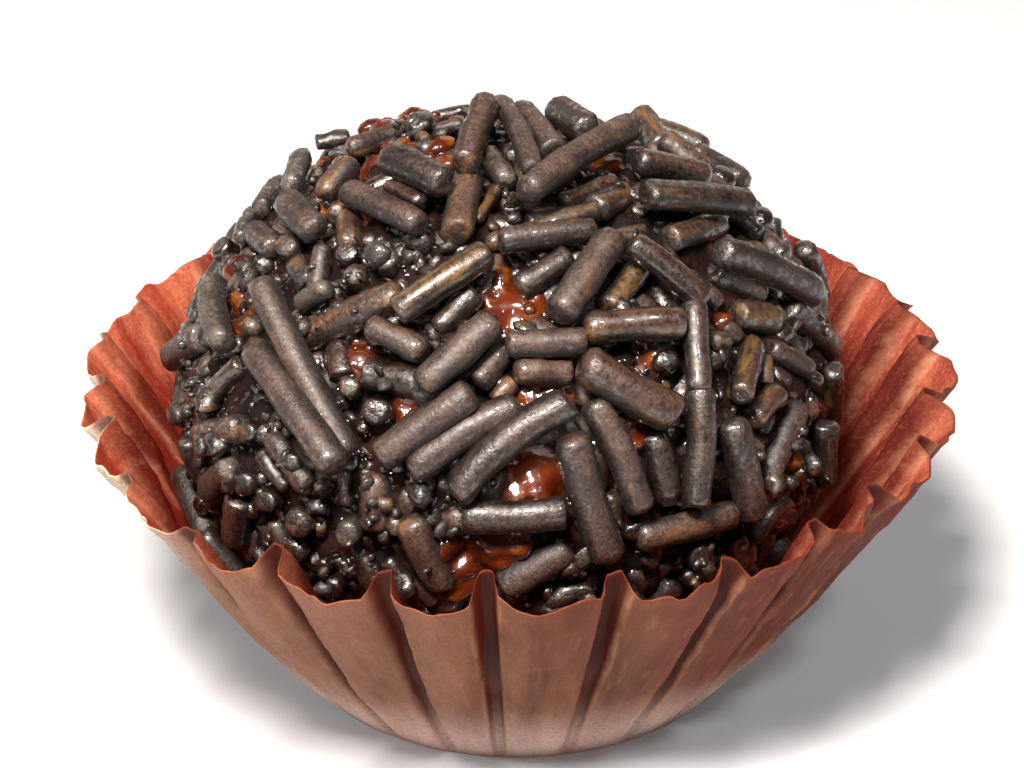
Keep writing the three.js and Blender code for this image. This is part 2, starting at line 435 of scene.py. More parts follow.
left_shoulder = [
    (397, 161, 434, 178, 34, 3), (402, 181, 436, 191, 18, 1), (392, 188, 417, 200, 19, 2, WET),
    (355, 196, 412, 222, 30, 2), (378, 229, 398, 232, 16, 0, BROWN), (350, 224, 350, 240, 28, 1, BROWN),
    (329, 188, 345, 171, 28, 2, BROWN), (318, 160, 334, 157, 15, 0, GOLDEN), (332, 150, 350, 155, 14, 1),
    (356, 147, 398, 131, 20, 1, BROWN), (347, 137, 384, 121, 20, 0, BROWN), (345, 127, 362, 118, 15, 1),
    (320, 136, 335, 129, 18, 1), (303, 145, 316, 141, 13, 0), (300, 161, 292, 184, 24, 2, PALE),
    (293, 208, 310, 226, 32, 2), (273, 181, 263, 206, 22, 1), (255, 196, 233, 230, 18, 0),
    (251, 210, 241, 236, 16, 1, PALE), (257, 233, 271, 246, 25, 1), (277, 229, 291, 238, 10, 1, WET),
    (244, 243, 245, 262, 14, 0), (290, 262, 287, 286, 24, 0), (322, 256, 317, 288, 22, 1),
    (306, 302, 324, 291, 22, 1, PALE),
]
left_flank = [
    (215, 290, 222, 336, 30, 2, PALE), (204, 285, 189, 308, 17, 1, PALE), (174, 355, 199, 339, 30, 1),
    (171, 362, 177, 370, 18, 0, WET), (180, 322, 176, 334, 12, 0), (238, 370, 210, 400, 25, 1, WET),
    (193, 374, 196, 398, 22, 0, BROWN), (162, 408, 162, 438, 16, 0, BROWN),
    (207, 436, 238, 430, 32, 1, BROWN), (181, 437, 196, 461, 20, 0), (213, 488, 228, 470, 30, 1),
    (265, 458, 284, 482, 18, 1), (277, 443, 303, 480, 24, 1), (238, 508, 236, 532, 30, 1, WET),
    (268, 520, 272, 530, 26, 0, WET), (255, 545, 248, 560, 20, 0, WET), (266, 293, 342, 443, 32, 2),
    (262, 360, 328, 456, 36, 3), (245, 405, 248, 410, 20, 0, BROWN), (262, 392, 268, 418, 18, 0, BROWN),
]
heart = [
    (312, 333, 390, 300, 34, 1, BROWN), (408, 305, 475, 260, 34, 3, GOLDEN), (446, 322, 468, 300, 27, 1),
    (497, 268, 488, 292, 25, 0, BROWN), (382, 331, 415, 347, 30, 2), (433, 376, 483, 330, 35, 3),
    (485, 375, 503, 352, 26, 1), (380, 375, 412, 382, 32, 1), (340, 355, 341, 368, 28, 0, WET),
    (393, 448, 458, 402, 37, 3), (425, 465, 507, 413, 34, 2), (468, 485, 556, 412, 36, 3),
    (520, 343, 572, 342, 30, 2), (529, 371, 556, 372, 32, 1, BROWN), (528, 282, 560, 262, 27, 1),
    (568, 302, 606, 248, 38, 2), (613, 300, 640, 265, 28, 1, GOLDEN), (598, 328, 668, 324, 34, 2, BROWN),
    (641, 250, 696, 294, 28, 3, WET), (600, 371, 658, 405, 44, 3, BROWN), (695, 314, 699, 380, 28, 3),
    (700, 402, 697, 492, 31, 3), (598, 413, 636, 500, 31, 2), (576, 452, 606, 545, 38, 3),
    (657, 446, 665, 490, 34, 1), (650, 535, 722, 516, 32, 1, BROWN), (478, 517, 552, 514, 33, 2),
    (516, 577, 556, 554, 34, 1), (543, 600, 555, 587, 30, 0, WET), (572, 505, 580, 530, 14, 0),
    (648, 579, 655, 568, 28, 0), (416, 531, 437, 572, 34, 1, BROWN), (392, 565, 430, 597, 18, 1, WET),
    (405, 590, 425, 607, 22, 0, WET), (377, 486, 378, 515, 34, 1, BROWN),
    (345, 478, 347, 498, 18, 1, BROWN), (447, 476, 450, 500, 14, 0, BROWN),
    (600, 245, 638, 233, 20, 0, GOLDEN), (592, 575, 598, 592, 20, 0),
]
right_shoulder = [
    (672, 145, 697, 166, 26, 2, BROWN), (701, 153, 707, 164, 22, 1), (718, 160, 718, 166, 14, 0),
    (740, 179, 746, 181, 18, 0, PALE), (755, 193, 768, 199, 22, 1), (647, 163, 697, 175, 27, 2, WET),
    (652, 153, 690, 163, 18, 1, BROWN), (657, 196, 738, 203, 32, 3), (676, 237, 714, 225, 28, 1, GOLDEN),
    (739, 221, 752, 231, 21, 1), (758, 239, 776, 254, 26, 1), (778, 226, 791, 225, 23, 1, PALE),
    (729, 255, 808, 290, 32, 2), (722, 275, 750, 290, 34, 1, BROWN), (790, 262, 806, 262, 22, 0, BROWN),
    (808, 251, 824, 257, 17, 0, PALE), (815, 274, 840, 291, 18, 0), (826, 298, 840, 306, 24, 1, PALE),
    (745, 315, 766, 318, 31, 1, GOLDEN), (793, 312, 828, 346, 28, 1), (692, 282, 712, 298, 22, 1),
]
right_flank = [
    (752, 350, 743, 388, 27, 1, BROWN), (722, 350, 722, 394, 20, 0, BROWN), (776, 351, 802, 366, 24, 1),
    (773, 378, 787, 380, 28, 0), (773, 399, 759, 414, 28, 1, BROWN), (795, 414, 771, 470, 27, 1),
    (796, 432, 808, 460, 20, 0, WET), (806, 402, 816, 410, 24, 0), (833, 375, 838, 425, 24, 1, BROWN),
    (840, 357, 848, 378, 20, 0), (825, 434, 823, 474, 26, 2), (735, 433, 750, 504, 33, 2),
    (782, 506, 757, 534, 20, 1, BROWN), (806, 478, 803, 505, 22, 0, WET), (690, 572, 688, 588, 24, 0, WET),
]
laid_rows = np.array([
    (*row, DARK)[:7] for row in crown + left_shoulder + left_flank + heart + right_shoulder + right_flank
], float)

# These stand on end, pressed straight in, and show only a round end: its middle, its width and its finish.
standing = np.array([
    (408, 111, 26, WET), (512, 207, 24, WET), (637, 196, 24, WET), (350, 256, 26, WET), (314, 210, 17, WET),
    (313, 180, 12, WET), (226, 250, 24, WET), (290, 249, 26, BROWN), (335, 293, 22, PALE),
    (356, 278, 27, BROWN), (388, 262, 26, PALE), (195, 316, 12, PALE), (238, 345, 20, GOLDEN),
    (181, 415, 24, PALE), (252, 432, 18, WET), (200, 461, 14, PALE), (248, 482, 28, GOLDEN),
    (270, 500, 24, WET), (198, 505, 22, WET), (302, 521, 30, BROWN), (350, 532, 28, PALE),
    (298, 548, 24, WET), (325, 565, 16, WET), (335, 585, 24, WET), (385, 536, 17, WET),
    (424, 482, 26, GOLDEN), (350, 388, 22, BROWN), (378, 411, 30, WET), (363, 428, 12, WET),
    (661, 342, 25, DARK), (664, 363, 28, WET), (722, 178, 28, WET), (760, 221, 27, WET),
    (696, 554, 24, WET), (737, 543, 22, WET), (813, 380, 18, GOLDEN), (741, 391, 22, GOLDEN),
    (308, 487, 16, PALE), (583, 590, 20, WET), (632, 530, 20, WET), (690, 576, 20, WET),
    (440, 140, 14, PALE), (638, 212, 16, WET), (180, 478, 12, WET),
], float)
STANDING_HEIGHT = 0.75  # mm, of their tops above the fudge
print(len(laid_rows), "rods lie and", len(standing), "stand")

# A long rod dries crooked. These bow by so many pixels, to the right of the way from their first end.
crooked = {
    (468, 485): 8, (266, 293): 1, (262, 360): 1, (782, 506): -9, (773, 399): -5, (425, 465): 3,
    (600, 371): -4, (598, 413): 3, (576, 452): -4, (535, 187): 2, (641, 250): 3, (215, 290): -5,
    (204, 285): 6, (501, 106): 4,
}

# %% Where the fudge shows between them
# Bare spots: the middle of each in the camera's picture and its radius, in pixels.
bare_spots = np.array([
    (513, 306, 26), (503, 284, 13), (415, 405, 15), (542, 392, 22), (536, 478, 22), (515, 492, 12),
    (492, 545, 19), (462, 572, 23), (448, 545, 13), (625, 430, 15), (650, 355, 18), (638, 346, 10),
    (712, 255, 17), (605, 172, 14), (375, 175, 15), (335, 215, 12), (368, 226, 10), (362, 360, 15),
    (250, 305, 13), (254, 327, 12), (247, 275, 14), (345, 470, 8), (778, 453, 11), (320, 160, 10),
    (715, 325, 9), (400, 130, 18), (420, 124, 14), (392, 150, 11), (440, 126, 12), (566, 385, 10),
    (590, 400, 8), (520, 541, 10), (505, 545, 10),
], float)

# Patches of it that lie tilted to the high lamp and glint: the middle and the radius, in pixels.
glints = np.array([
    (516, 324, 9), (508, 337, 6), (618, 354, 9), (530, 396, 8), (548, 392, 8), (409, 411, 8), (512, 482, 9),
    (527, 472, 8), (493, 538, 11), (463, 561, 9), (472, 566, 6), (716, 252, 9), (380, 178, 8),
    (335, 212, 8), (362, 358, 7), (250, 300, 7), (412, 140, 8), (776, 455, 6), (628, 432, 6), (497, 300, 6),
    (436, 252, 6), (408, 248, 6),
], float)
high_lamp = np.array([-50.0, -154.0, 262.0])  # mm, where the key light stands

spot_places = on_ball(bare_spots[:, 0], bare_spots[:, 1], 0)
spot_radii = bare_spots[:, 2] * MM_PER_PIXEL
print(len(spot_radii), "bare spots, the largest", spot_radii.max().round(2), "mm in radius")

# %% From the rows to rods


def laid_rods():
    """Rods from the rows: both ends on the ball at the layer's height, and a radius from the width in the
    picture by similar triangles. A standing rod runs in from its round end and leans to the camera. The
    golden ratio spreads the lengths of those, evenly and in no order."""
    height = layer_heights[laid_rows[:, 5].astype(int)]
    ends = [on_ball(laid_rows[:, i], laid_rows[:, i + 1], height) for i in (0, 2)]
    radius = laid_rows[:, 4] / 2 * depth_of((ends[0] + ends[1]) / 2) / focal_pixels
    count = len(standing)
    tops = on_ball(standing[:, 0], standing[:, 1], STANDING_HEIGHT)
    disc_radius = standing[:, 2] / 2 * depth_of(tops) / focal_pixels
    lean = unit(outward_at(tops) * 0.75 - forward * 0.5)
    depth = (0.8 + 1.2 * np.modf(np.arange(count) * GOLDEN_RATIO)[0])[:, None]
    return SimpleNamespace(
        start=np.concatenate([ends[0], tops]), end=np.concatenate([ends[1], tops - lean * depth]),
        radius=np.append(radius, disc_radius), height=np.append(height, np.full(count, STANDING_HEIGHT)),
        finish=np.append(laid_rows[:, 6], standing[:, 3]).astype(int),
        layer=np.append(laid_rows[:, 5], np.ones(count)),
        standing=np.arange(len(laid_rows) + count) >= len(laid_rows),
        bow=np.append([crooked.get((x, y), 0) * MM_PER_PIXEL for x, y in laid_rows[:, :2]], np.zeros(count)),
    )


laid = laid_rods()
print("the laid rods are on average", laid.radius.mean().round(2), "mm in radius")

# %% [markdown]
# ## The rest of the coat
#
# Round the back, and down inside the paper, chance does the work: rods are thrown at the ball, and one
# stays if it finds room. Throwing them twice, low and then high, gives the same two untidy layers as on the
# front, where only the gaps between the laid rods are filled, with shorter and thinner bits.

# %% Throwing the rest


def segment_gap(start, end, starts, ends):
    """The shortest distance from one straight segment to each of several, and how far along each the
    nearest points are: the nearest points of two lines, held between the segments' ends. Last, the gap as a
    vector."""
    first, second, between = end - start, ends - starts, start - starts
    a, e = (first * first).sum(-1), (second * second).sum(-1)
    b, c, f = (first * second).sum(-1), (first * between).sum(-1), (second * between).sum(-1)
    s = np.clip((b * f - c * e) / np.maximum(a * e - b * b, 1e-9), 0, 1)
    t = np.clip((b * s + f) / np.maximum(e, 1e-9), 0, 1)
    s = np.clip((b * t - c) / np.maximum(a, 1e-9), 0, 1)
    apart = start + s[..., None] * first - starts - t[..., None] * second
    return np.linalg.norm(apart, axis=-1), s, t, apart


rim_in_picture = SimpleNamespace(x=515, y=405, across=440, up=212)  # the rim's ellipse, in pixels
thrown_finishes = [0.5, 0.18, 0.08, 0.06, 0.18]  # the share of each, from dark to wet


def out_of_sight(points):
    """Whether points of the ball face away from the camera or lie behind the near side of the paper."""
    toward = unit(camera_place - points)
    facing = (outward_at(points) * toward).sum(-1)
    scale = focal_pixels / depth_of(points)
    x = picture.centre_x + (points - camera_place) @ rightward * scale
    y = picture.centre_y - (points - camera_place) @ upward * scale
    across = (x - rim_in_picture.x) / rim_in_picture.across
    below = (y - rim_in_picture.y) / rim_in_picture.up
    return (facing < 0.02) | ((below > 0) & (across**2 + below**2 > 0.97))


def bareness(points):
    """How bare the fudge is at points: one inside a spot, falling smoothly to nothing past its edge."""
    share = np.linalg.norm(points[:, None] - spot_places, axis=-1) / spot_radii
    return np.clip(1.6 - share.min(1), 0, 1)


def throw_rods(rods, allowed, tries, height, room, seed, under=False, size=1.0, thickness=0.71):
    """Adds rods that find room: a random place on the ball, a random heading along it, and a length from a
    bell curve. One stays if its gap to every other is at least a share of their radii. Thrown under, it may
    slide below those that lie high. Neither end may lie on bare fudge."""
    rng = np.random.default_rng(seed)
    middles = ball.centre + unit(rng.normal(size=(tries, 3))) * (core_reach + height)
    outward = outward_at(middles)
    heading = unit(np.cross(outward, rng.normal(size=(tries, 3))))
    half = size * np.clip(rng.normal(1.5, 0.7, tries), 0.35, 3.0)[:, None]
    radius = np.clip(rng.normal(thickness, 0.07, tries), 0.4, 0.88)
    all_starts, all_ends = middles - heading * half, middles + heading * half
    clear_of_floor = middles[:, 2] > ball.rest_height + radius + 0.4
    keep = allowed(middles) & clear_of_floor
    keep &= (bareness(all_starts) < 0.3) & (bareness(all_ends) < 0.3)
    met = ~rods.standing & (rods.layer < 2) if under else rods.radius > 0
    starts, ends, radii = list(rods.start[met]), list(rods.end[met]), list(rods.radius[met])
    added = []
    for i in np.flatnonzero(keep):
        gaps = segment_gap(all_starts[i], all_ends[i], np.array(starts), np.array(ends))[0]
        if np.all(gaps > room * (np.array(radii) + radius[i])):
            starts.append(all_starts[i])
            ends.append(all_ends[i])
            radii.append(radius[i])
            added.append(i)
    finish = rng.choice(FINISHES, len(added), p=thrown_finishes)
    more = dict(
        start=all_starts[added], end=all_ends[added], radius=radius[added],
        height=np.full(len(added), height), finish=finish,
        layer=np.full(len(added), np.interp(height, layer_heights, [0.0, 1.0, 2.0, 3.0])),
        standing=np.zeros(len(added), bool), bow=np.zeros(len(added)),
    )
    print(len(added), "rods thrown at height", height)
    return SimpleNamespace(**{key: np.concatenate([vars(rods)[key], more[key]]) for key in more})


def in_the_gaps(points):
    """Whether points face the camera, away from the bare spots."""
    return ~out_of_sight(points) & (bareness(points) < 0.05)


rods = throw_rods(laid, in_the_gaps, tries=12000, height=0.1, room=0.6, seed=33, under=True, size=0.7)
rods = throw_rods(rods, in_the_gaps, tries=16000, height=0.4, room=0.76, seed=34, size=0.45, thickness=0.6)
rods = throw_rods(rods, in_the_gaps, tries=16000, height=0.5, room=0.8, seed=35, size=0.25, thickness=0.5)
rods = throw_rods(rods, out_of_sight, tries=12000, height=0.4, room=0.78, seed=31)
rods = throw_rods(rods, out_of_sight, tries=1500, height=1.25, room=0.9, seed=32)

# %% [markdown]
# ## Settling
#
# Rods that were laid and thrown still pass through each other. A physics simulation could shake them down,
# but it would also lose where they were laid. So they are only nudged apart: for each close pair, the
# nearest points are pushed away from each other, mostly straight out of the ball and into it, upper layer
# out and lower layer in.

# %% Settling
settling = SimpleNamespace(
    rounds=45,
    touching=0.93,  # of two radii: rods that press on each other dent a little
    outwards=0.9,  # how much a push leans to straight out of the ball and into it
    pushed=0.35,  # of an overlap, in one round
    sideways=0.3,  # what is left of the push along the ball
    drawn_back=0.06,  # of the way home, in one round
)


def settle(rods):
    """Pushes overlapping rods apart, a share of the overlap in each round, with the sideways part of the push
    made small, then draws each end back a little towards where it lay. Standing rods stay where they are."""
    middle = (rods.start + rods.end) / 2
    reach = np.linalg.norm(rods.end - rods.start, axis=1) / 2 + rods.radius
    i, j = np.triu_indices(len(middle), 1)
    close = np.linalg.norm(middle[i] - middle[j], axis=1) < reach[i] + reach[j] + 0.5
    i, j = i[close], j[close]
    start, end = rods.start.copy(), rods.end.copy()
    free = ~rods.standing
    wanted = settling.touching * (rods.radius[i] + rods.radius[j])
    order = np.sign(rods.layer[i] - rods.layer[j])[:, None]
    for _ in range(settling.rounds):
        distance, s, t, apart = segment_gap(start[i], end[i], start[j], end[j])
        overlap = np.maximum(wanted - distance, 0)
        near = start[i] + s[:, None] * (end[i] - start[i])
        out = outward_at(near)
        push = unit(unit(apart) + settling.outwards * order * out) * (settling.pushed * overlap)[:, None]
        radial = (push * out).sum(-1, keepdims=True) * out
        push = radial + settling.sideways * (push - radial)
        for rod, share, way in ((i, s, 1), (j, t, -1)):
            weight = (share**2 + (1 - share) ** 2)[:, None]
            np.add.at(start, rod, way * push * (1 - share)[:, None] / weight / 2)
            np.add.at(end, rod, way * push * share[:, None] / weight / 2)
        for points, home in ((start, rods.start), (end, rods.end)):
            points[free] += settling.drawn_back * (home[free] - points[free])
            points[~free] = home[~free]
    return start, end


def back_in_picture(ends, column):
    """The laid rods' ends at the heights that settling gave them, but where the picture shows them."""
    laid_ends = ends[: len(laid_rows)]
    level = np.linalg.norm((laid_ends - ball.centre) / core_reach, axis=1)
    placed = on_ball(laid_rows[:, column], laid_rows[:, column + 1], (level - 1) * core)
    return np.concatenate([placed, ends[len(laid_rows) :]])


for _ in range(2):
    start, end = settle(rods)
    rods.start, rods.end = back_in_picture(start, 0), back_in_picture(end, 2)
lengths = np.linalg.norm(rods.end - rods.start, axis=1) + 2 * rods.radius
print(len(lengths), "sprinkles,", lengths.min().round(1), "to", lengths.max().round(1), "mm long")

# %% [markdown]
# ## The sprinkles themselves
#
# A sprinkle is extruded soft, cut and dried, so it is a slightly crooked rod with ends that are rounded,
# flat or dished. All of them are one mesh: a ring of points is carried along each rod's path, for every rod
# at once, by arrays with one axis for the rods, one for the rings and one for the sides of a ring.

# %% The sprinkles' surface
FRONT_DETAIL = SimpleNamespace(end_rings=6, middle_rings=6, sides=12)
BACK_DETAIL = SimpleNamespace(end_rings=4, middle_rings=2, sides=9)


def sprinkle_surface(rods, chosen, detail, seed):
    """Points of the chosen rods, the same points as if their rod were straight, for the grain along it, how
    near each is to a tip, and how far out it faces. From the middle of an end the radius follows the sine,
    and the way along the rod one minus the cosine, of a quarter turn. Both are raised to a power below one,
    which squares the end, and its middle is dished. The path is the straight line between the ends, plus a
    bow outwards from the ball and one sideways."""
    rng = np.random.default_rng(seed)
    start, end, radius = rods.start[chosen], rods.end[chosen], rods.radius[chosen]
    count = len(radius)
    along = end - start
    length = np.linalg.norm(along, axis=1, keepdims=True)
    along = unit(along)
    out = outward_at((start + end) / 2)
    side = -unit(np.cross(along, out + 0.01))
    out = np.cross(along, side)
    cap = radius[:, None]
    whole = length + 2 * cap
    quarter = np.pi / 2 * np.linspace(0, 1, detail.end_rings)
    square = rng.uniform(0.42, 0.85, (2, count, 1))  # the power, for each end of each rod
    taper = rng.uniform(0.5, 1.0, (2, count, 1)) * cap  # how long the rounded end is
    dish = np.clip(rng.normal(-0.05, 0.2, (2, count, 1)), 0, 0.35) * cap
    width = np.maximum(np.sin(quarter) ** square, 0.04)
    reach = taper * (1 - np.cos(quarter) ** square) + dish * (1 - width) ** 2
    middle = np.linspace(0, 1, detail.middle_rings + 2)[1:-1]
    between = taper[0] + middle * (whole - taper[0] - taper[1])
    distance = np.concatenate([reach[0], between, (whole - reach[1])[:, ::-1]], axis=1)
    shoulder = np.concatenate([width[0], np.ones_like(between), width[1][:, ::-1]], axis=1)
    share = distance / whole
    bow = 4 * share * (1 - share)
    path = (start - along * cap)[:, None] + along[:, None] * distance[..., None]
    outward_bow = (0.5 * length**2 / (8 * core)) * (~rods.standing[chosen])[:, None]
    path += out[:, None] * (outward_bow * bow)[..., None]
    sideways = rng.normal(0, 0.012, (count, 1)) * length + rods.bow[chosen][:, None]
    path += side[:, None] * (sideways * bow)[..., None]
    turn = 2 * np.pi * np.arange(detail.sides) / detail.sides
    # A rod is a little wider one way than the other, and uneven along its skin.
    oval = 1 + 0.06 * np.cos(2 * turn[None, None] + rng.uniform(0, 6.28, (count, 1, 1)))
    girth = (radius[:, None] * shoulder)[..., None] * oval
    ring = out[:, None, None] * np.cos(turn)[:, None] + side[:, None, None] * np.sin(turn)[:, None]
    points = path[:, :, None] + ring * girth[..., None]
    uneven = relief(points, (0.022, 2.4, seed + 1), (0.02, 0.75, seed + 2))
    points += ring * (uneven * np.minimum(shoulder * 1.3, 1)[..., None])[..., None]
    flat = np.stack([distance[..., None] + 0 * girth, girth * np.cos(turn), girth * np.sin(turn)], -1)
    tip = np.clip(1.3 - np.minimum(distance, whole - distance) / cap, 0, 1)[..., None] + 0 * girth
    crest = 0.5 + 0.5 * np.cos(turn) + 0 * girth
    return points, flat + rng.uniform(0, 40, (count, 1, 1, 3)), tip, crest


def build_sprinkles(rods, front):
    """The front rods with fine rings and the others with fewer: points, faces, each point's rod, grain, tip
    and crest."""
    parts = []
    first = 0
    for chosen, detail, seed in ((front, FRONT_DETAIL, 41), (~front, BACK_DETAIL, 51)):
        chosen = np.flatnonzero(chosen)
        points, grain, tip, crest = sprinkle_surface(rods, chosen, detail, seed)
        rings = points.shape[1]
        faces = tube_faces(len(chosen), rings, detail.sides, first)
        owner = np.repeat(chosen, rings * detail.sides)
        parts.append((points.reshape(-1, 3), faces, owner, grain.reshape(-1, 3), tip.ravel(), crest.ravel()))
        first += len(owner)
    return [np.concatenate(part) for part in zip(*parts)]


def finish_numbers(finish, shade, points):
    """The numbers that the chocolate's material reads, from each point's finish, shade and place."""
    lift = np.linalg.norm((points - ball.centre) / core_reach, axis=1) * core - core
    kinds = dict(brown=finish == BROWN, golden=finish == GOLDEN, pale=finish == PALE, wet=finish == WET)
    return dict(kinds, shade=shade, lift=lift)


front = np.arange(len(rods.radius)) < len(laid.radius)
rod_points, rod_faces, rod_owner, rod_grain, rod_tip, rod_crest = build_sprinkles(rods, front)
shade = np.random.default_rng(61).uniform(0, 1, len(rods.radius))
sprinkles = make_piece(
    "chocolate_sprinkles", rod_points - offset, [rod_faces], "chocolate_sprinkles",
    grain=rod_grain * MM, tip=rod_tip, crest=rod_crest,
    **finish_numbers(rods.finish[rod_owner], shade[rod_owner], rod_points),
)
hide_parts("coated_ball")

# %% [markdown]
# ## The fudge
#
# The fudge is cooked from condensed milk, cocoa and butter: soft, sticky and glossy. It creeps up against
# whatever is pressed into it, and that little slope round each sprinkle is what makes it look sticky. So
# the ball is a round surface with noise, and each of its points is raised by how near a sprinkle is.

# %% The fudge's surface
FUDGE_ROWS, FUDGE_COLUMNS = 210, 420
CREEP = 0.4  # mm, how high the fudge creeps up beside a sprinkle, and how far from it that starts


def nearest_rod(points, rods, chunk=4000):
    """The gap from each point to the nearest sprinkle's skin, worked out a few thousand points at a time."""
    along = rods.end - rods.start
    squared = np.maximum((along * along).sum(-1), 1e-9)
    gaps = []
    for part in np.array_split(points, len(points) // chunk + 1):
        between = part[:, None] - rods.start
        share = np.clip((between * along).sum(-1) / squared, 0, 1)
        distance = np.linalg.norm(between - share[..., None] * along, axis=-1) - rods.radius
        gaps.append(distance.min(1))
    return np.concatenate(gaps)


def bulge(points):
    """How far bare fudge stands out, in mm: a dome on each spot, its lower side fuller, because soft fudge
    sags."""
    share = np.linalg.norm(points[:, None] - spot_places, axis=-1) / spot_radii
    nearest = share.argmin(1)
    dome = np.maximum(1 - (share.min(1) / 1.35) ** 2, 0)
    lower = np.clip(spot_places[nearest, 2] - points[:, 2], -0.9, 0.7)
    return dome * (0.6 + 0.4 * lower)


def tilted(place, height):
    """Heights above the core, but level with a plane inside each glint's patch. The plane faces halfway
    between the camera and the high lamp, so its slope is the ball's own direction minus that one over their
    cosine."""
    seen = on_ball(glints[:, 0], glints[:, 1], 0.3)
    halfway = unit(unit(camera_place - seen) + unit(high_lamp - seen))
    out = outward_at(seen)
    slope = out - halfway / (halfway * out).sum(-1, keepdims=True)
    away = place[:, None] - seen
    share = np.linalg.norm(away, axis=-1) / (glints[:, 2] * MM_PER_PIXEL)
    nearest = share.argmin(1)
    rise = (away[np.arange(len(place)), nearest] * slope[nearest]).sum(-1)
    plane = 0.5 + np.clip(rise, -0.5, 0.4)
    inside = np.clip(2.0 - share.min(1), 0, 1)
    return height + inside * inside * (3 - 2 * inside) * (plane - height)


def fudge_surface():
    """A sphere's grid stretched to the core, with slow lumps and small ones, then raised next to a sprinkle
    by a bell curve of the gap, and cut level where it rests."""
    latitude = np.pi * (np.arange(1, FUDGE_ROWS) / FUDGE_ROWS - 0.5)
    directions = sphere_grid(latitude, FUDGE_COLUMNS).reshape(-1, 3)
    smooth = np.concatenate([directions, [[0, 0, -1.0], [0, 0, 1.0]]]) * core_reach
    place = ball.centre + smooth
    bare = bareness(place)
    lumps = relief(smooth, (0.14, 6.0, 71)) + (1 - bare) * relief(smooth, (0.06, 1.8, 72), (0.11, 1.15, 75))
    lumps += bulge(place) + bare * relief(smooth, (0.055, 2.3, 74))
    gap = nearest_rod(place + outward_at(place) * 0.2, rods)
    creep = CREEP * np.exp(-((np.maximum(gap, 0) / CREEP) ** 2))
    place = place + outward_at(place) * tilted(place, lumps + creep)[:, None]
    place[:, 2] = np.maximum(place[:, 2], ball.rest_height)
    faces = skin_faces(FUDGE_ROWS - 1, FUDGE_COLUMNS, True)
    return place, faces, dict(gap=np.clip(gap, 0, 3), bare=bare, drop=0 * bare)


fudge_points, fudge_faces, fudge_numbers = fudge_surface()
fudge = make_piece("chocolate_fudge", fudge_points - offset, fudge_faces, "chocolate_fudge", **fudge_numbers)

# %% [markdown]
# ## The crumbs
#
# Sprinkles break in the bag, and their crumbs stick first, wherever there is room. On this sweet they lie
# in drifts, the thickest on its upper left shoulder. They could be rods as well, only very short, but a
# broken bit has no round side left, so each is a small lump, dented by noise, that rests on what is there.

# %% The crumbs
# Drifts in the camera's picture: the middle and the radius in pixels, and how many crumbs.
drifts = [
    (412, 137, 27, 110), (398, 152, 22, 40), (335, 160, 27, 30), (345, 215, 26, 18), (240, 290, 30, 26),
    (200, 385, 34, 46), (185, 440, 32, 50), (240, 520, 42, 60), (330, 560, 55, 60), (400, 510, 48, 30),
    (560, 590, 40, 26), (680, 560, 40, 26), (790, 470, 26, 24), (735, 200, 38, 20), (820, 330, 30, 24),
    (600, 300, 140, 50), (450, 300, 110, 40), (270, 430, 60, 80), (330, 300, 60, 40), (700, 440, 90, 40),
    (412, 250, 34, 44), (440, 490, 30, 24), (360, 470, 40, 30), (450, 210, 90, 40), (620, 200, 80, 40),
]
crumbs_elsewhere = 260
crumb_finishes = [0.34, 0.3, 0.18, 0.05, 0.13]  # the share of each, from dark to wet
syrup_spot = SimpleNamespace(x=405, y=130, reach=2.6)  # pixels and mm: crumbs within it are golden with syrup
LIFTS, LIFT_STEP, HIGHEST_LIFT = 12, 0.12, 1.4  # how often, and in mm by how much and how far at most
CRUMB_CREST = 0.7  # a crumb has no top side, so all of it counts as partly facing out
CRUMB_COLUMNS, LUMP_ROWS = 8, 6


def crumb_places():
    """Where the crumbs lie: in the drifts, by a bell curve about each middle, piled up where a drift is
    dense, and evenly out of sight. None lies at the edge of what the camera sees."""
    rng = np.random.default_rng(81)
    drift = np.repeat(np.array(drifts, float), [count for *_, count in drifts], axis=0)
    shown = drift[:, :2] + 0.55 * drift[:, 2:3] * rng.normal(size=(len(drift), 2))
    piled = np.clip(8 * drift[:, 3] / drift[:, 2] ** 2, 0.1, 1.1)
    seen = on_ball(shown[:, 0], shown[:, 1], rng.uniform(0.09, piled))
    facing = (outward_at(seen) * unit(camera_place - seen)).sum(-1)
    seen = seen[facing > 0.2]
    others = unit(rng.normal(size=(crumbs_elsewhere * 2, 3))) * core_reach + ball.centre
    others = others[out_of_sight(others) & (others[:, 2] > 2.0)][:crumbs_elsewhere]
    return np.concatenate([seen, others])


def small_lumps(axes, stretch, columns):
    """A sphere's small grid for each lump, stretched by its three sizes along its three axes."""
    latitude = np.pi * ((np.arange(LUMP_ROWS) + 0.15) / (LUMP_ROWS - 0.7) - 0.5)
    return (sphere_grid(latitude, columns).reshape(1, -1, 3) * stretch[:, None]) @ axes


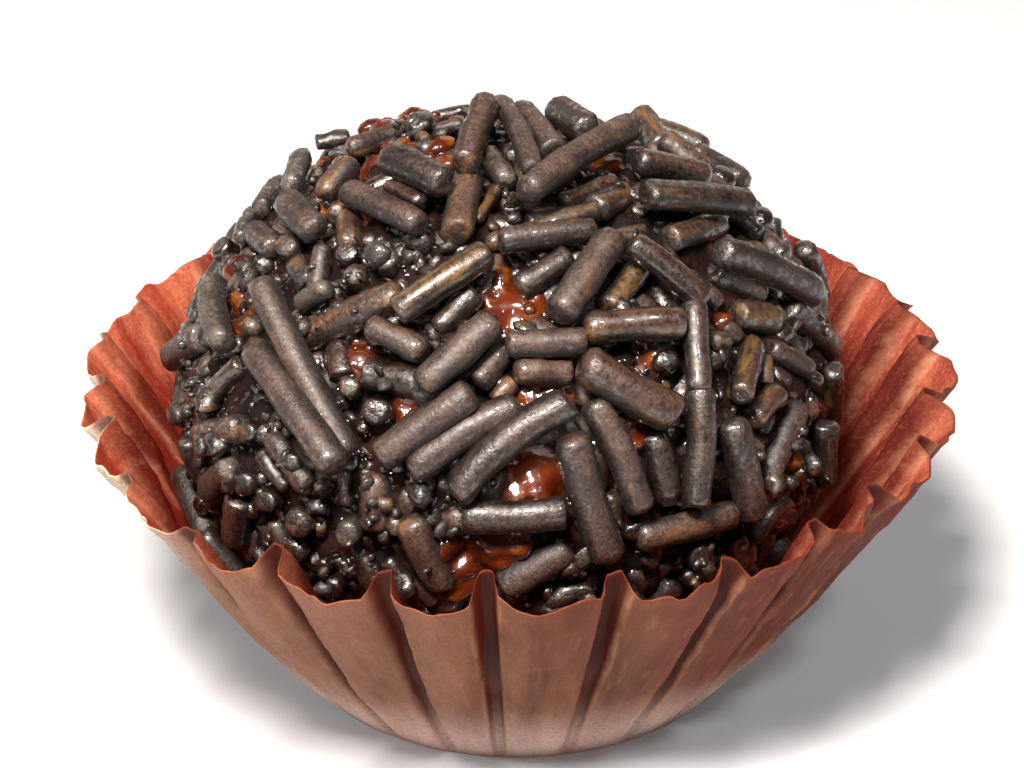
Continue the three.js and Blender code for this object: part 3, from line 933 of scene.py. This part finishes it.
def crumb_surface():
    """Every crumb is a small lump, turned at random and dented by noise. It starts on the fudge and is
    lifted, a little at a time, until it is clear of the rods. One that would end up on top of the coat has
    fallen off."""
    rng = np.random.default_rng(82)
    place = crumb_places()
    size = np.clip(rng.lognormal(np.log(0.22), 0.4, len(place)), 0.12, 0.5)
    lifted = np.zeros(len(place))
    for _ in range(LIFTS):
        stuck = nearest_rod(place, rods) < 0.1 * size
        place[stuck] += LIFT_STEP * outward_at(place[stuck])
        lifted[stuck] += LIFT_STEP
    stays = lifted < HIGHEST_LIFT
    place, size = place[stays], size[stays]
    count = len(place)
    first = unit(rng.normal(size=(count, 3)))
    second = unit(np.cross(first, rng.normal(size=(count, 3))))
    axes = np.stack([first, second, np.cross(first, second)], 1)
    lumps = small_lumps(axes, rng.uniform(0.6, 1.7, (count, 3)) * size[:, None], CRUMB_COLUMNS)
    dents = 1 + 0.19 * ripples(lumps / size[:, None, None] + rng.uniform(0, 50, (count, 1, 3)), 1.8, 83)
    points = place[:, None] + lumps * dents[..., None]
    finish = rng.choice(FINISHES, count, p=crumb_finishes)
    spot = on_ball(syrup_spot.x, syrup_spot.y, 0.5)
    syrupy = np.linalg.norm(place - spot, axis=1) < syrup_spot.reach
    finish = np.where(syrupy & (rng.uniform(size=count) < 0.7), GOLDEN, finish)
    per_crumb = LUMP_ROWS * CRUMB_COLUMNS
    points = points.reshape(-1, 3)
    shade = np.repeat(rng.uniform(size=count), per_crumb)
    numbers = finish_numbers(np.repeat(finish, per_crumb), shade, points)
    print(count, "crumbs stay")
    return points, tube_faces(count, LUMP_ROWS, CRUMB_COLUMNS), numbers


crumb_points, crumb_faces, crumb_numbers = crumb_surface()
crumbs = make_piece(
    "chocolate_crumbs", crumb_points - offset, [crumb_faces], "chocolate_sprinkles",
    grain=crumb_points * MM, tip=np.ones(len(crumb_points)), crest=np.full(len(crumb_points), CRUMB_CREST),
    **crumb_numbers,
)

# %% [markdown]
# ## Beads of syrup
#
# Where a sprinkle is pressed in, the fudge sweats a little syrup, which stands in beads along the seam and
# catches the light. Each bead is a low round drop, set on the fudge close to a sprinkle. On the upper left
# small lumps of the fudge itself, made in the same way, are stuck among the crumbs.

# %% Beads of syrup
BEADS, FUDGE_LUMPS, BEAD_COLUMNS = 480, 90, 9
# The fudge's lumps: the middle and the spread of their patch, and the edge of the ball above it, in pixels.
lump_patch = SimpleNamespace(x=400, y=134, spread_x=24, spread_y=13, top=115)


def syrup_beads():
    """Small lumps, flattened a little, at points of the fudge that are next to a sprinkle but not under it,
    turned so that their short side points out of the ball. The fudge's grid is dense at its poles, so a
    point there has less weight in the draw. The lumps of fudge are larger and rounder."""
    rng = np.random.default_rng(91)
    gap = fudge_numbers["gap"]
    seam = np.flatnonzero((gap > 0.03) & (gap < 0.22) & (fudge_points[:, 2] > 2.5))
    weight = np.linalg.norm(fudge_points[seam, :2] - ball.centre[:2], axis=1) + 2.0
    place = fudge_points[rng.choice(seam, BEADS, replace=False, p=weight / weight.sum())]
    size = np.clip(rng.lognormal(np.log(0.13), 0.4, BEADS), 0.07, 0.3)
    lump_y = np.maximum(rng.normal(lump_patch.y, lump_patch.spread_y, FUDGE_LUMPS), lump_patch.top)
    lump_x = rng.normal(lump_patch.x, lump_patch.spread_x, FUDGE_LUMPS)
    lumps = on_ball(lump_x, lump_y, rng.uniform(0.4, 1.2, FUDGE_LUMPS))
    place = np.concatenate([place, lumps])
    size = np.append(size, rng.uniform(0.24, 0.56, FUDGE_LUMPS))
    count = len(place)
    is_bead = np.arange(count) < BEADS
    out = outward_at(place)
    side = unit(np.cross(out, rng.normal(size=(count, 3))))
    axes = np.stack([side, np.cross(out, side), out], 1)
    stretch = rng.uniform([1.0, 0.9, 0.35], [2.2, 1.3, 0.65], (count, 3)) * size[:, None]
    stretch[BEADS:] *= [0.8, 1.0, 1.6]
    points = (place[:, None] + small_lumps(axes, stretch, BEAD_COLUMNS)).reshape(-1, 3)
    each = LUMP_ROWS * BEAD_COLUMNS
    return points, tube_faces(count, LUMP_ROWS, BEAD_COLUMNS), dict(
        gap=np.repeat(np.where(is_bead, 0.5, 0.1), each),
        bare=np.repeat(np.where(is_bead, 0.7 * bareness(place), 1), each), drop=np.ones(len(points)),
    )


bead_points, bead_faces, bead_numbers = syrup_beads()
beads = make_piece("syrup_beads", bead_points - offset, [bead_faces], "chocolate_fudge", **bead_numbers)

# %% [markdown]
# ## Materials
#
# A material is arithmetic on numbers that change over a surface. Written as nodes it is hard to read, so a
# small class lets Python's own operators add the nodes: an expression such as 1 - mask becomes a Math node.

# %% A way to write materials


def paint(red, green, blue):
    """A colour as paint shops give it, 0 to 255, turned into the light that Blender reckons with."""
    values = np.array([red, green, blue]) / 255
    linear = np.where(values <= 0.04045, values / 12.92, ((values + 0.055) / 1.055) ** 2.4)
    return (*linear.tolist(), 1.0)


class Varying:
    """A number that changes over a surface: a node's socket, on which arithmetic adds Math nodes."""

    def __init__(self, finish, socket):
        self.finish = finish
        self.socket = socket

    def _maths(self, operation, first, second):
        return self.finish.node("Math", {"operation": operation}, {0: first, 1: second})

    def __add__(self, other):
        return self._maths("ADD", self, other)

    __radd__ = __add__

    def __sub__(self, other):
        return self._maths("SUBTRACT", self, other)

    def __rsub__(self, other):
        return self._maths("SUBTRACT", other, self)

    def __mul__(self, other):
        return self._maths("MULTIPLY", self, other)

    __rmul__ = __mul__


class Finish:
    """A material that is being made."""

    def __init__(self, name):
        self.material = bpy.data.materials.new(name)
        self.material.use_nodes = True
        self.tree = self.material.node_tree
        self.tree.nodes.clear()

    def node(self, kind, settings=None, inputs=None, output=0):
        """Adds a shader node of a kind: its settings first, then the values or links of its sockets."""
        made = self.tree.nodes.new("ShaderNode" + kind)
        for key, value in (settings or {}).items():
            setattr(made, key, value)
        for key, value in (inputs or {}).items():
            if isinstance(value, Varying):
                self.tree.links.new(value.socket, made.inputs[key])
            else:
                made.inputs[key].default_value = value
        return Varying(self, made.outputs[output])

    def attributes(self, *names):
        """The numbers of these names that the mesh holds for each point."""
        return [self.node("Attribute", {"attribute_name": name}, output="Fac") for name in names]

    def place(self):
        """Object coordinates, in metres."""
        return self.node("TexCoord", output="Object")

    def grain(self, stretch=(1, 1, 1)):
        """The piece's own coordinates, which follow its shape, stretched for a pattern with a grain."""
        own = self.node("Attribute", {"attribute_name": "grain"}, output="Vector")
        return self.node("Mapping", None, {"Vector": own, "Scale": stretch})

    def noise(self, size, detail=3.0, roughness=0.5, place=None):
        """Noise from 0 to 1 whose patches are about size millimetres across."""
        inputs = {"Vector": place or self.place(), "Scale": 1 / (size * MM)}
        inputs.update({"Detail": detail, "Roughness": roughness})
        return self.node("TexNoise", None, inputs, output="Fac")

    def step(self, value, low, high, end=1.0, start=0.0):
        """A smooth step from start to end as a number rises from low to high."""
        settings = {"interpolation_type": "SMOOTHSTEP"}
        inputs = {"Value": value, "From Min": low, "From Max": high, "To Min": start, "To Max": end}
        return self.node("MapRange", settings, inputs)

    def mix(self, share, first, second):
        """A colour between two, by a share from 0 to 1."""
        return self.node("Mix", {"data_type": "RGBA"}, {0: share, 6: first, 7: second}, output=2)

    def painted(self, colour, *coats):
        """A colour with others laid over it in turn. Each coat is its share, from 0 to 1, and its colour."""
        for share, over in coats:
            colour = self.mix(share, colour, over)
        return colour

    def bump(self, height, depth):
        """A surface direction that fakes relief of a depth in millimetres."""
        return self.node("Bump", None, {"Height": height, "Distance": depth * MM})

    def done(self, shader):
        """Joins the shader to the output and gives the material."""
        end = self.tree.nodes.new("ShaderNodeOutputMaterial")
        self.tree.links.new(shader.socket, end.inputs["Surface"])
        return self.material


# %% The paper's finish


def brown_paper():
    """Thin greaseproof paper, dyed reddish brown. Much of the light goes through it, so a side that is lit
    from behind glows orange. It is cloudy, with fine fibres that run up the wall, a painted highlight along
    its creases, painted shade in its folds, where it also lies on itself, and darker at the rim. Painted
    light makes it paler towards the left, with a painted sheen on the far left, and paler low on the wall, as
    from the pale floor. It is darker and redder towards the right. Inside it has deep red stripes and is
    darkest next to the ball, where the ball's shade is painted, with some fat stain."""
    finish = Finish("brown_paper")
    step, grain = finish.step, finish.grain()
    inside, up, crease_highlight, pinch, close = finish.attributes("inside", "up", "crease_highlight", "pinch", "close")
    within = step(inside, 0.0, 1.0)
    cloud = finish.noise(2.6, 5.0, 0.68, grain)
    fibre = finish.noise(0.3, 4.0, 0.7, grain)
    stripe = finish.noise(1.1, 3.0, 0.6, finish.grain((1, 1, 0.5)))
    speck = finish.noise(0.16, 2.0, 0.6)
    across = finish.node("SeparateXYZ", None, {0: finish.place()}, output="X")
    # Darker and redder towards the right, and a little less translucent there.
    toward_right = step(across + 0.004 * (cloud - 0.5), 0.001, 0.012)
    left_sheen = step(across + 0.004 * (cloud - 0.5), -0.0125, -0.0175)
    # Down the wall, where light from the pale floor is painted on.
    low = step(up, 0.55, 0.1)  # down the wall, where the pale floor shines through
    outer = finish.painted(
        finish.mix(step(cloud, 0.3, 0.7), paint(94, 61, 40), paint(146, 103, 74)),
        (toward_right * 0.9, paint(88, 31, 13)),
        # Painted light: paler towards the left, the side that the lamp lights.
        (step(across, 0.002, -0.012, 0.35), paint(188, 148, 124)),
        # A painted sheen on the far left, where the paper meets the light at a grazing angle.
        (left_sheen * 0.92, paint(240, 224, 198)),
        # Painted light from the pale floor, low on the wall.
        (low * (0.45 + 0.8 * cloud), paint(234, 208, 194)),
    )
    inner = finish.painted(
        finish.mix(step(cloud, 0.3, 0.7), paint(120, 44, 32), paint(196, 122, 92)),
        # The ball's painted shade on the inside next to it, with some fat stain.
        (step(close + 0.5 * (cloud - 0.5), 0.1, 0.8, 0.95), paint(56, 8, 4)),
        (toward_right * 0.4, paint(116, 36, 32)),
        (step(stripe, 0.5, 0.68, 0.6), paint(122, 28, 18)),
    )
    colour = finish.painted(
        finish.mix(within, outer, inner),
        (step(speck, 0.4, 0.7, 0.4), paint(104, 50, 38)),
        (step(fibre, 0.52, 0.78, 0.3), paint(206, 150, 118)),
        (within * step(speck, 0.5, 0.3, 0.07), paint(255, 200, 170)),
        # Painted shade in the pinched folds, where the paper also lies on itself; less inside and low down.
        (step(pinch, 0.0, 0.6, 0.85) * (1 - 0.6 * within) * (1 - 0.85 * low), paint(54, 22, 16)),
        # A painted highlight along the creases.
        (crease_highlight * step(fibre, 0.3, 0.6) * 0.45, paint(206, 152, 120)),
        (step(up, 0.99, 1.0, 0.5) * (1 - left_sheen), paint(96, 48, 34)),
    )
    bumps = finish.bump(fibre + 0.5 * speck + 0.8 * finish.noise(0.9, 3.0, 0.5, grain), 0.035)
    front = finish.node("BsdfPrincipled", None, {
        "Base Color": colour, "Roughness": 0.55, "Normal": bumps, "Specular IOR Level": 0.12,
    })
    through = finish.node("BsdfTranslucent", None, {"Color": paint(216, 96, 62)})
    return finish.done(finish.node("MixShader", None, {0: 0.36 - 0.07 * toward_right, 1: front, 2: through}))


paper_case.data.materials.append(brown_paper())

# %% The chocolate's finishes


def sprinkle_chocolate():
    """Dark compound chocolate with a satin, finely grained skin, with painted shade down its flanks. Some
    rods are browner, some dusty, and the fudge's syrup stains them: amber streaks along them, and glossy
    patches, most where they touch the fudge. On golden rods a painted golden sheen runs along the top."""
    finish = Finish("chocolate_sprinkles")
    step = finish.step
    brown, golden, pale, wet = finish.attributes("brown", "golden", "pale", "wet")
    shade, lift, tip, crest = finish.attributes("shade", "lift", "tip", "crest")
    blotch = finish.noise(1.3, 4.0, 0.6)
    streak = finish.noise(0.7, 4.0, 0.6, finish.grain((0.3, 1, 1)))
    patch = finish.noise(0.8, 3.0, 0.55)
    speck = finish.noise(0.13, 3.0, 0.65)
    grit = finish.noise(0.32, 3.0, 0.6)
    pit = finish.noise(0.22, 3.0, 0.6)
    # Painted shade down the rod's flanks, off its top.
    flank_shade = step(crest + 0.3 * (patch - 0.5), 0.96, 0.72)  # off the top of the rod
    film = step(lift + 0.9 * (patch - 0.5), 1.05, 0.2)  # of syrup, near the fudge
    dust = step(speck + 0.35 * (blotch - 0.5) - 0.3 * film, 0.46, 0.72, 0.26)
    tone = shade * 0.5 + step(blotch, 0.35, 0.7, 0.5)
    colour = finish.painted(
        finish.mix(tone, paint(19, 11, 9), paint(55, 36, 29)),
        (brown * step(streak, 0.3, 0.65, 0.9, start=0.3), paint(62, 37, 24)),
        # The golden film, brighter along the rod's top: a painted golden sheen.
        (golden * step(streak + 0.3 * crest, 0.62, 0.88, 0.6), paint(84, 60, 24)),
        # Pale grey: dust, and on rods at the ball's edge a painted sheen of grazing light.
        (pale * step(blotch, 0.35, 0.65, 0.75, start=0.15), paint(74, 69, 60)),
        (flank_shade * 0.85, paint(13, 6, 5)),
        (film * 0.85, paint(24, 8, 6)),
        (step(pit, 0.52, 0.36, 0.6), paint(8, 4, 4)),
        (step(streak + 0.08 * brown + 0.07 * golden, 0.59, 0.8, 0.45), paint(112, 80, 34)),
        (dust * (0.35 + shade) * (1 - 0.7 * flank_shade), paint(112, 86, 70)),
    )
    rough = 0.39 + 0.2 * shade + 0.25 * (blotch - 0.5) + 0.6 * (pit - 0.5)
    rough = rough + 0.04 * pale - 0.12 * wet - 0.06 * film
    gloss = grit + 0.35 * (patch - 0.5) + 0.1 * (0.5 - shade)
    gloss = gloss + 0.12 * wet + 0.05 * golden + 0.14 * film + 0.1 * tip
    uneven = finish.noise(0.6, 3.0, 0.55) + 0.6 * pit + 0.4 * speck
    surface = finish.node("BsdfPrincipled", None, {
        "Base Color": colour, "Roughness": rough, "Normal": finish.bump((1 + 0.8 * tip) * uneven, 0.042),
        "Coat Weight": step(gloss, 0.555, 0.6), "Coat Roughness": 0.05, "Specular IOR Level": 0.66,
    })
    return finish.done(surface)


def fudge_finish():
    """Cooked chocolate fudge: a glowing orange brown where it lies bare and thick, and almost black between
    the sprinkles. Bare fudge and drops of syrup are wet, and so are patches between."""
    finish = Finish("chocolate_fudge")
    step = finish.step
    gap, spot, drop = finish.attributes("gap", "bare", "drop")
    swirl = finish.noise(1.6, 4.0, 0.6)
    bare = step(spot + 0.6 * (swirl - 0.5), 0.1, 0.6) * step(gap, -0.05, 0.2, 1.0, start=0.5)
    honey = bare * step(gap, 0.3, 0.05) * step(finish.noise(0.8), 0.45, 0.7)  # thin, beside a sprinkle
    colour = finish.painted(
        finish.mix(step(swirl, 0.4, 0.7), paint(9, 3, 3), paint(32, 10, 6)),
        (bare, paint(60, 18, 6)),
        (step(swirl, 0.35, 0.7, 0.85) * bare, paint(92, 38, 10)),
        (honey * 0.6, paint(150, 86, 24)),
    )
    bumps = finish.bump(finish.noise(0.9, 3.0, 0.5) * (1 - 0.8 * bare), 0.18)
    wet = step(finish.noise(0.45, 3.0, 0.6), 0.55, 0.6)
    surface = finish.node("BsdfPrincipled", None, {
        "Base Color": colour, "Roughness": 0.76 - 0.4 * bare, "Normal": bumps,
        "Coat Weight": step(bare + drop + wet, 0.0, 1.0), "Coat Roughness": 0.04, "Specular IOR Level": 0.12,
        "Subsurface Weight": 0.12, "Subsurface Radius": (1.0, 0.35, 0.12), "Subsurface Scale": 0.4 * MM,
    })
    return finish.done(surface)


chocolate = sprinkle_chocolate()
sprinkles.data.materials.append(chocolate)
crumbs.data.materials.append(chocolate)
syrup = fudge_finish()
fudge.data.materials.append(syrup)
beads.data.materials.append(syrup)

# %% [markdown]
# ## Floor, light and camera
#
# A pale floor, a soft lamp from the upper left and before the ball, weak ones low in front and behind, and
# a pale room all round. Two small bright lamps, like windows, draw the sharp glints that say sticky.

# %% The stage


def set_floor():
    """A wide pale floor under the case."""
    size = 1.5  # metres
    mesh = bpy.data.meshes.new("floor")
    corners = [(-size, -size, 0), (size, -size, 0), (size, size, 0), (-size, size, 0)]
    mesh.from_pydata(corners, [], [(0, 1, 2, 3)])
    floor = bpy.data.objects.new("floor", mesh)
    bpy.context.scene.collection.objects.link(floor)
    finish = Finish("floor")
    surface = finish.node("BsdfPrincipled", None, {
        "Base Color": (0.42, 0.45, 0.49, 1), "Roughness": 0.8,
        "Emission Color": (1, 1, 1, 1), "Emission Strength": 0.08,
    })
    mesh.materials.append(finish.done(surface))


def add_light(name, place, size, power, colour=(1.0, 1.0, 1.0)):
    """A square lamp at a place and of a size in millimetres, of so many watts, aimed at the ball."""
    lamp = bpy.data.lights.new(name, "AREA")
    lamp.size = size * MM
    lamp.energy = power
    lamp.color = colour
    made = bpy.data.objects.new(name, lamp)
    bpy.context.scene.collection.objects.link(made)
    made.location = np.array(place) * MM
    made.rotation_mode = "QUATERNION"
    made.rotation_quaternion = Vector(ball.centre - place).to_track_quat("-Z", "Y")
    made.visible_camera = False


def set_camera():
    """The camera, with the picture's small shift."""
    lens = bpy.data.cameras.new("camera")
    lens.sensor_width = SENSOR_WIDTH
    lens.lens = focal_pixels * SENSOR_WIDTH / picture.width
    lens.shift_x = -(picture.centre_x - picture.width / 2) / picture.width
    lens.shift_y = (picture.centre_y - picture.height / 2) / picture.width
    camera = bpy.data.objects.new("camera", lens)
    bpy.context.scene.collection.objects.link(camera)
    camera.location = (camera_place - offset) * MM
    camera.rotation_euler = (np.pi / 2 - camera_tilt, 0, 0)
    lens.clip_start, lens.clip_end = 0.01, 10
    bpy.context.scene.camera = camera


def set_world():
    """A pale room all round."""
    world = bpy.data.worlds.new("room")
    world.use_nodes = True
    world.node_tree.nodes["Background"].inputs["Color"].default_value = (1, 0.86, 0.76, 1)
    world.node_tree.nodes["Background"].inputs["Strength"].default_value = 0.04
    bpy.context.scene.world = world


set_floor()
set_world()
add_light("key", high_lamp, 66, 2.95, (1.0, 0.885, 0.785))
add_light("low_front", (-150, -300, 28), 130, 0.16, (1.0, 0.88, 0.78))
add_light("window_behind", (-215, 160, 115), 230, 0.18, (1.0, 0.88, 0.78))
add_light("wall_behind", (60, 270, 140), 280, 0.22, (1.0, 0.87, 0.77))
add_light("glint_left", (-130, -150, 190), 22, 0.2)
add_light("glint_right", (90, -120, 220), 24, 0.24)
set_camera()
bpy.context.scene.view_settings.view_transform = "Standard"
